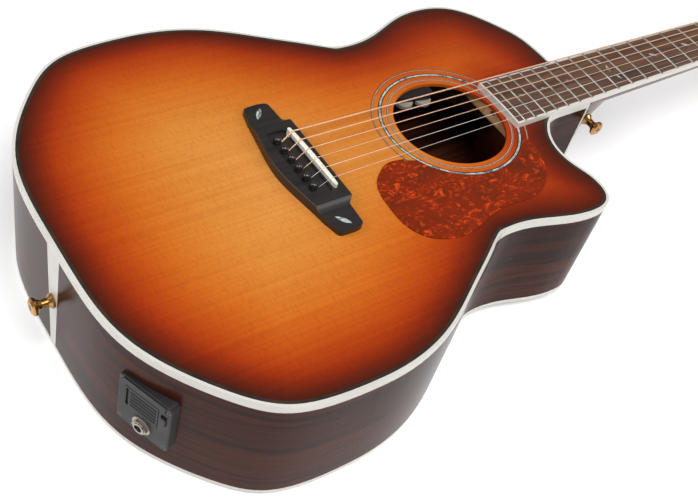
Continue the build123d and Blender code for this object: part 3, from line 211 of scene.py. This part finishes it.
def plain_wood(name, dark, light, roughness=0.45, coat=0.15, stretch=(90, 3, 60), pore=0.45):
    """A straight-grained wood along the guitar, from two tones."""
    f = Finish(name, roughness=roughness, coat=coat)
    streak = f.noise(f.place(stretch), 1.0, 5, 0.6, 0.5)
    pores = f.noise(f.place(tuple(8 * s for s in stretch)), 1.0, 2, 0.5)
    tone = f.mix(f.spread(streak, 0.3, 0.7), dark, light)
    tone = f.mix(f.spread(pores, 0.6, 0.72, 0.0, pore), tone, tuple(0.35 * c for c in dark[:3]) + (1,))
    f.rough(f.spread(streak, 0.3, 0.7, roughness - 0.06, roughness + 0.08))
    return f.colour(tone).bump(pores, 0.15, 0.0002).material


# ---- trim and plastics ----
def ivory():
    """White binding plastic with a faint cloudy warmth."""
    f = Finish("ivory", roughness=0.3, coat=0.15)
    cloud = f.noise(f.place((9, 9, 30)), 1.0, 3)
    f.shader.inputs["Subsurface Weight"].default_value = 0.1
    f.shader.inputs["Subsurface Radius"].default_value = (0.002, 0.0016, 0.001)
    return f.colour(f.ramp(cloud, [(0.3, rgb(203, 199, 191)), (0.7, rgb(219, 216, 209))])).material


def lines_across(name, attribute_name, stops):
    """Thin stripes across a strip, read from its own attribute."""
    f = Finish(name, roughness=0.3, coat=0.5)
    wear = f.noise(f.place(), 60, 3)
    tone = f.ramp(f.attribute(attribute_name), stops)
    return f.colour(f.mix(f.spread(wear, 0.3, 0.8, 0.0, 0.25), tone, rgb(120, 84, 50))).material


def ring_lines(name, rings):
    """Thin concentric stripes about the sound hole; rings lists (radius, colour) outwards, in millimetres."""
    f = Finish(name, roughness=0.3, coat=0.5)
    low, high = rings[0][0], rings[-1][0]
    share = f.spread(f.hole_radius(), low / 1000, high / 1000)
    stops = [((r - low) / (high - low), colour) for r, colour in rings]
    ramp = f.ramp(share, stops)
    ramp.node.color_ramp.interpolation = "CONSTANT"
    wear = f.noise(f.place(), 80, 2)
    return f.colour(f.mix(f.spread(wear, 0.3, 0.8, 0.0, 0.2), ramp, rgb(150, 110, 70))).material


def shell_inlay(name="shell_inlay", scale=150.0, ring=None):
    """Polished shell in broken slips of green, pink, blue-grey and dark.

    A ring, given by its two radii and the width of a line in millimetres, gets dark outlines.
    """
    f = Finish(name, roughness=0.2, coat=0.3, specular=0.4)
    smear = f.noise(f.place(), 90, 3)
    spot = f.place()
    slips = f.cells(spot, scale, output="Color")
    pick = f.add("ShaderNodeSeparateColor", {0: slips}).outputs[0]
    fine = f.noise(f.place((1, 1, 1)), 420, 4, 0.7, 1.5)
    tone = f.ramp(f.sum(f.sum(pick, 0.6, "MULTIPLY"), f.sum(fine, 0.5, "MULTIPLY")), [
        (0.12, rgb(38, 38, 44)), (0.28, rgb(112, 120, 118)), (0.42, rgb(196, 214, 200)),
        (0.55, rgb(150, 178, 176)), (0.68, rgb(214, 196, 196)), (0.8, rgb(88, 96, 116)),
        (0.95, rgb(232, 236, 226)),
    ])
    edges = f.cells(spot, scale, "DISTANCE_TO_EDGE")
    tone = f.mix(f.spread(edges, 0.0, 0.06, 0.55, 0.0), tone, rgb(30, 28, 30))
    if ring:
        inner, outer, line = (value / 1000 for value in ring)
        radius = f.hole_radius()
        rim = f.sum(f.spread(radius, inner + line, inner + line * 1.3, 1.0, 0.0),
                    f.spread(radius, outer - line * 1.3, outer - line, 0.0, 1.0), "MAXIMUM")
        tone = f.mix(rim, tone, rgb(28, 22, 20))
    f.rough(f.spread(smear, 0.3, 0.7, 0.12, 0.25))
    return f.colour(tone).material


def tortoise():
    """Red-brown tortoise plastic with bright orange-red flecks."""
    f = Finish("tortoise", roughness=0.3, coat=0.08, specular=0.12)
    cloud = f.noise(f.place((1, 1, 1)), 26, 4, 0.6, 0.8)
    fleck = f.noise(f.place((1.6, 1.0, 1), turn=(0, 0, 35)), 100, 6, 0.7, 1.8)
    blot = f.noise(f.place((1, 1, 1), at=(0.2, 0.1, 0)), 60, 3, 0.6, 1.0)
    tone = f.ramp(cloud, [(0.3, rgb(92, 36, 12)), (0.5, rgb(120, 36, 10)), (0.7, rgb(134, 38, 10))])
    hot = f.sum(f.spread(fleck, 0.52, 0.64), f.spread(blot, 0.38, 0.56), "MULTIPLY")
    tone = f.mix(f.sum(hot, 0.9, "MULTIPLY"), tone, rgb(226, 78, 24))
    dark = f.spread(fleck, 0.36, 0.46, 0.6, 0.0)
    return f.colour(f.mix(dark, tone, rgb(92, 40, 14))).material


def moulded(name, tone, light, roughness=0.5, grain=900.0):
    """Moulded plastic with a fine texture."""
    f = Finish(name, roughness=roughness)
    fine = f.noise(f.place(), grain, 2)
    cloud = f.noise(f.place(), 40, 3)
    f.rough(f.spread(cloud, 0.3, 0.7, roughness - 0.08, roughness + 0.08))
    return f.colour(f.mix(f.spread(cloud, 0.3, 0.7), tone, light)).bump(fine, 0.2, 0.0001).material


def bone():
    """Polished bone, faintly streaked."""
    f = Finish("bone", roughness=0.3, coat=0.2)
    streak = f.noise(f.place((400, 60, 60)), 1.0, 3)
    return f.colour(f.ramp(streak, [(0.3, rgb(222, 214, 190)), (0.7, rgb(242, 238, 224))])).material


# ---- metals ----
def metal(name, tone, shade, roughness=0.22):
    """Polished metal with faint smudges."""
    f = Finish(name, roughness=roughness, metallic=1.0)
    smudge = f.noise(f.place(), 120, 4, 0.6)
    scratch = f.noise(f.place((40, 400, 40)), 1.0, 3)
    f.rough(f.spread(smudge, 0.3, 0.75, roughness - 0.06, roughness + 0.12))
    return f.colour(f.mix(f.spread(smudge, 0.35, 0.7), tone, shade)).bump(scratch, 0.04, 0.00005).material


def wound_wire():
    """Bronze wire wound across the string's length, with a painted highlight on the crest of each turn and
    painted shade in the groove between turns.
    """
    f = Finish("wound_wire", roughness=0.3, metallic=0.45)
    windings_and_painted_glint = f.bands(f.place(), 260, 0, 0, "Y")
    # painted highlight and shade: each turn is coloured pale at its crest and darker between turns, following
    # the same bands that drive the bump
    tone = f.mix(windings_and_painted_glint, rgb(214, 146, 110), rgb(255, 226, 196))
    return f.colour(tone).bump(windings_and_painted_glint, 0.6, 0.0002).material


# ---- the soundboard, refaced with a fine mesh that knows how far each point is from the edge ----
def border_loops(mesh, faces):
    """The closed loops of vertex indices round a set of faces."""
    edges = [e for e in mesh.edges if sum(f in faces for f in e.link_faces) == 1]
    following = {}
    for edge in edges:
        face = next(f for f in edge.link_faces if f in faces)
        ordered = [v.index for v in face.verts]
        a, b = edge.verts[0].index, edge.verts[1].index
        step = ordered.index(b) - ordered.index(a)
        if step in (1, 1 - len(ordered)):
            following[a] = b
        else:
            following[b] = a
    loops = []
    while following:
        start = next(iter(following))
        loop, here = [], start
        while here in following:
            loop.append(here)
            here = following.pop(here)
        loops.append(loop)
    return loops


def distance_to_loop(points, loop):
    """Shortest way from each point to a closed polyline, taking each of its segments in turn."""
    best = np.full(len(points), 1e9)
    for a, b in zip(loop, np.roll(loop, -1, axis=0)):
        run = b - a
        share = np.clip(((points - a) @ run) / max(run @ run, 1e-18), 0, 1)
        gap = points - (a + share[:, None] * run)
        best = np.minimum(best, np.hypot(gap[:, 0], gap[:, 1]))
    return best


def inside_loop(points, loop):
    """True for each point that a ray to the right crosses the loop an odd number of times."""
    inside = np.zeros(len(points), bool)
    x, y = points[:, 0], points[:, 1]
    for (ax, ay), (bx, by) in zip(loop, np.roll(loop, -1, axis=0)):
        crosses = (ay > y) != (by > y)
        reach = ax + (y - ay) * (bx - ax) / (by - ay if by != ay else 1e-12)
        inside ^= crosses & (x < reach)
    return inside


def merged_copy(node):
    """A bmesh of a CAD node with its doubled vertices joined."""
    work = bmesh.new()
    work.from_mesh(NODES[node].data)
    bmesh.ops.remove_doubles(work, verts=work.verts, dist=1e-6)
    work.verts.ensure_lookup_table()
    work.edges.ensure_lookup_table()
    return work


def flat_top_faces(mesh):
    """The faces of a bmesh that lie in the plane of the guitar's top."""
    mesh.normal_update()
    return {f for f in mesh.faces if f.normal.z > 0.99 and abs(f.calc_center_median().z - top_z) < 1e-5}


def plan_places(mesh):
    """The x and y of every vertex of a mesh."""
    places = np.empty(len(mesh.vertices) * 3)
    mesh.vertices.foreach_get("co", places)
    return places.reshape(-1, 3)[:, :2]


def mark_points(mesh, name, values):
    """Gives every vertex of a mesh a number that its finish reads."""
    mesh.attributes.new(name, "FLOAT", "POINT").data.foreach_set("value", values.astype(np.float32))


WIDER_FROM, WIDER_OVER = 0.10, 0.11      # metres from the saddle, and the stretch it takes
WIDER_SHARE = 0.38


def finely_faced_top(spacing=0.006):
    """The soundboard with its top face filled by an even grid of points between its own edge loops.

    Each point carries its distance from the outline, shrunk towards the neck where the burst is wider:
    distance * (1 - WIDER_SHARE * t), with t going from 0 to 1 over WIDER_OVER, from WIDER_FROM.
    """
    work = merged_copy("soundboard")
    top_faces = flat_top_faces(work)
    loops = border_loops(work, top_faces)
    outlines = [np.array([work.verts[i].co[:2] for i in loop]) for loop in loops]
    bmesh.ops.delete(work, geom=list(top_faces), context="FACES")
    outer = max(outlines, key=lambda loop: np.ptp(loop[:, 0]))
    low, high = outer.min(0), outer.max(0)
    grid_x, grid_y = np.meshgrid(np.arange(low[0], high[0], spacing), np.arange(low[1], high[1], spacing))
    grid = np.column_stack([grid_x.ravel(), grid_y.ravel()])
    near = np.min([distance_to_loop(grid, loop) for loop in outlines], axis=0)
    odd = np.sum([inside_loop(grid, loop) for loop in outlines], axis=0) % 2 == 1
    grid = grid[odd & (near > spacing * 0.4)]
    points, segments = [], []
    for loop in outlines:
        first = len(points)
        points += [Vector(p) for p in loop]
        segments += [(first + i, first + (i + 1) % len(loop)) for i in range(len(loop))]
    points += [Vector(p) for p in grid]
    verts, _, faces, *_ = delaunay_2d_cdt(points, segments, [], 0, 1e-7)
    flat = np.array([(v.x, v.y) for v in verts])
    centres = np.array([flat[list(f)].mean(0) for f in faces])
    keep = np.sum([inside_loop(centres, loop) for loop in outlines], axis=0) % 2 == 1
    made = [work.verts.new((x, y, top_z)) for x, y in flat]
    for face, kept in zip(faces, keep):
        if kept:
            work.faces.new([made[i] for i in face])
    bmesh.ops.delete(work, geom=[v for v in made if not v.link_faces], context="VERTS")
    bmesh.ops.remove_doubles(work, verts=work.verts, dist=2e-6)
    mesh = bpy.data.meshes.new("soundboard_wood")
    work.to_mesh(mesh)
    work.free()
    places = plan_places(mesh)
    towards_neck = np.clip((places[:, 1] - saddle_y - WIDER_FROM) / WIDER_OVER, 0, 1)
    mark_points(mesh, "edge", distance_to_loop(places, outer) * (1 - WIDER_SHARE * towards_neck))
    return mesh


def add_piece(mesh, body, finish):
    """Puts a mesh into the scene as a piece of the guitar, with its finish."""
    piece = bpy.data.objects.new(mesh.name, mesh)
    bpy.context.collection.objects.link(piece)
    mesh.materials.clear()
    mesh.materials.append(finish)
    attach(piece, body)
    return piece


soundboard = add_piece(finely_faced_top(), "guitar", sunburst_spruce())
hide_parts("soundboard")


def striped_purfling():
    """The purfling strip, each point marked with its distance from the strip's border, in strip widths."""
    work = merged_copy("top_purfling")
    loops = border_loops(work, flat_top_faces(work))
    outer = max(loops, key=lambda loop: max(work.verts[i].co.x for i in loop))
    outline = np.array([work.verts[i].co[:2] for i in outer])
    mesh = bpy.data.meshes.new("purfling_lines")
    work.to_mesh(mesh)
    work.free()
    mark_points(mesh, "across", distance_to_loop(plan_places(mesh), outline) / PURFLING_WIDTH)
    return mesh


BLACK_LINE, WHITE_LINE = rgb(24, 20, 19), rgb(214, 208, 196)
purfling_finish = lines_across("purfling_stripes", "across", [
    (0.0, BLACK_LINE), (0.2, BLACK_LINE), (0.24, WHITE_LINE), (0.38, WHITE_LINE), (0.42, BLACK_LINE),
    (0.62, BLACK_LINE), (0.66, WHITE_LINE), (0.78, WHITE_LINE), (0.82, BLACK_LINE), (1.0, BLACK_LINE),
])
purfling = add_piece(striped_purfling(), "guitar", purfling_finish)
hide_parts("top_purfling")

# ---- finishes for the parts that keep their own shape ----
mahogany = plain_wood("mahogany", rgb(58, 22, 13), rgb(112, 50, 28), 0.38, 0.4)
ebony = plain_wood("ebony", rgb(22, 19, 18), rgb(44, 39, 36), 0.42, 0.1, (120, 4, 90), 0.3)
board_wood = plain_wood("board_wood", rgb(60, 40, 30), rgb(118, 84, 64), 0.55, 0.0, (240, 7, 120), 0.5)
bare_spruce = plain_wood("bare_spruce", rgb(168, 120, 78), rgb(214, 172, 124), 0.7, 0.0, (200, 5, 60), 0.2)
RING_WOOD = rgb(186, 88, 28)
purfling_rings = ring_lines("purfling_rings", [
    (54.0, BLACK_LINE), (54.3, WHITE_LINE), (54.65, BLACK_LINE), (54.95, RING_WOOD), (55.3, BLACK_LINE),
    (55.6, WHITE_LINE), (60.0, BLACK_LINE), (67.4, BLACK_LINE), (67.7, WHITE_LINE), (68.05, BLACK_LINE),
    (68.4, RING_WOOD), (68.85, BLACK_LINE), (70.0, BLACK_LINE),
])
gold = metal("gold", rgb(196, 150, 92), rgb(150, 104, 56))
nickel = metal("nickel", rgb(190, 184, 176), rgb(140, 134, 126), 0.32)
steel_wire = metal("steel_wire", rgb(232, 230, 226), rgb(190, 188, 184), 0.18)
plain_wire = moulded("plain_wire", rgb(214, 204, 194), rgb(232, 226, 218), 0.35)
black_plastic = moulded("black_plastic", rgb(18, 17, 17), rgb(30, 28, 28))
grey_plastic = moulded("grey_plastic", rgb(140, 132, 122), rgb(182, 174, 162), 0.3)
case_paint = moulded("case_paint", rgb(30, 30, 36), rgb(54, 54, 60), 0.35)
edge_ivory = ivory()
bone_finish = bone()
shell = shell_inlay()
side_wood = rosewood()
wire = wound_wire()

FINISHES = {
    side_wood: ["side_bass", "side_treble"],
    back_rosewood(): ["back_plate", "bridge_plate"],
    mahogany: ["neck", "neck_block", "tail_block"],
    ebony: ["bridge", "headstock_veneer"],
    plain_wood("pin_wood", rgb(20, 17, 16), rgb(38, 33, 30), 0.25, 0.5): ["bridge_pins"],
    board_wood: ["fretboard"],
    bare_spruce: ["linings", "top_braces", "back_braces"],
    edge_ivory: ["trim_strips", "top_binding", "back_binding", "heel_cap", "fretboard_binding"],
    bone_finish: ["saddle", "nut"],
    shell: ["bridge_inlays", "fretboard_inlays"],
    shell_inlay("shell_ring", 150.0, (59.7, 63.0, 0.7)): ["rosette_abalone"],
    purfling_rings: ["rosette_rings"],
    tortoise(): ["pickguard"],
    wire: ["wound_strings"],
    plain_wire: ["plain_strings"],
    steel_wire: ["truss_rod", "truss_rod_nut"],
    metal("dark_screw", rgb(78, 72, 68), rgb(104, 98, 92), 0.3): ["screws"],
    gold: ["tuner_housings", "tuner_bushings", "strap_buttons"]
          + [f"tuner_{part}_{n}" for part in ("post", "knob") for n in range(1, 7)],
    nickel: ["frets", "output_jack"],
    black_plastic: ["battery_box", "battery_drawer", "battery_latch", "preamp_pod", "saddle_pickup"],
    grey_plastic: ["volume_wheel", "tone_wheel"],
    case_paint: ["battery"],
}
for finish, names in FINISHES.items():
    for name in names:
        mesh = NODES[name].data
        mesh.materials.clear()
        mesh.materials.append(finish)

# ---- camera, light and floor ----
CAMERA_FROM_SADDLE = Vector((0.4421, -0.3999, 0.5511))
CAMERA_RIGHT = Vector((0.5462, 0.81174, 0.20672))
CAMERA_FORWARD = Vector((-0.47014, 0.50133, -0.72639))
CAMERA_LENS = 53.74

camera = bpy.data.objects.new("camera", bpy.data.cameras.new("camera"))
bpy.context.collection.objects.link(camera)
camera.data.lens, camera.data.sensor_width = CAMERA_LENS, 36.0
camera.data.clip_start, camera.data.clip_end = 0.01, 50.0
up = CAMERA_RIGHT.cross(CAMERA_FORWARD).normalized()
turn = Matrix((CAMERA_RIGHT.normalized(), up, -CAMERA_FORWARD.normalized())).transposed()
camera.matrix_world = Matrix.Translation(Vector((0, saddle_y, top_z)) + CAMERA_FROM_SADDLE) @ turn.to_4x4()
bpy.context.scene.camera = camera


def soft_light(name, place, aim, size, watts):
    """A square area light that faces a point."""
    lamp = bpy.data.lights.new(name, "AREA")
    lamp.shape, lamp.size, lamp.energy = "SQUARE", size, watts
    holder = bpy.data.objects.new(name, lamp)
    holder.location = place
    holder.rotation_euler = (Vector(aim) - Vector(place)).to_track_quat("-Z", "Y").to_euler()
    bpy.context.collection.objects.link(holder)


middle = (0, saddle_y + 0.1, top_z)
soft_light("key", (0.9, saddle_y - 0.2, top_z + 2.1), middle, 1.3, 40)
soft_light("tail_side", (-0.9, saddle_y - 1.7, top_z + 1.3), middle, 1.0, 20)
soft_light("neck_side", (1.4, saddle_y + 1.3, top_z + 1.2), middle, 1.0, 13)

world = bpy.data.worlds.new("studio")
bpy.context.scene.world = world
world.use_nodes = True
world.node_tree.nodes["Background"].inputs["Color"].default_value = WHITE
world.node_tree.nodes["Background"].inputs["Strength"].default_value = 0.22

FLOOR_REACH, FLOOR_DROP = 12.0, 0.0005
floor_mesh = bpy.data.meshes.new("floor")
floor_corners = [(x * FLOOR_REACH, y * FLOOR_REACH, 0) for x, y in ((-1, -1), (1, -1), (1, 1), (-1, 1))]
floor_mesh.from_pydata(floor_corners, [], [(0, 1, 2, 3)])
floor = bpy.data.objects.new("floor", floor_mesh)
bpy.context.collection.objects.link(floor)
paper = Finish("paper", roughness=0.9, specular=0.1)
paper.shader.inputs["Emission Color"].default_value = WHITE
paper.shader.inputs["Emission Strength"].default_value = 0.25
paper.colour(paper.ramp(paper.noise(paper.place(), 3, 2), [(0, (0.86, 0.86, 0.86)), (1, (0.9, 0.9, 0.9))]))
floor_mesh.materials.append(paper.material)
floor.location.z = -FLOOR_DROP
bpy.context.scene.view_settings.view_transform = "Standard"
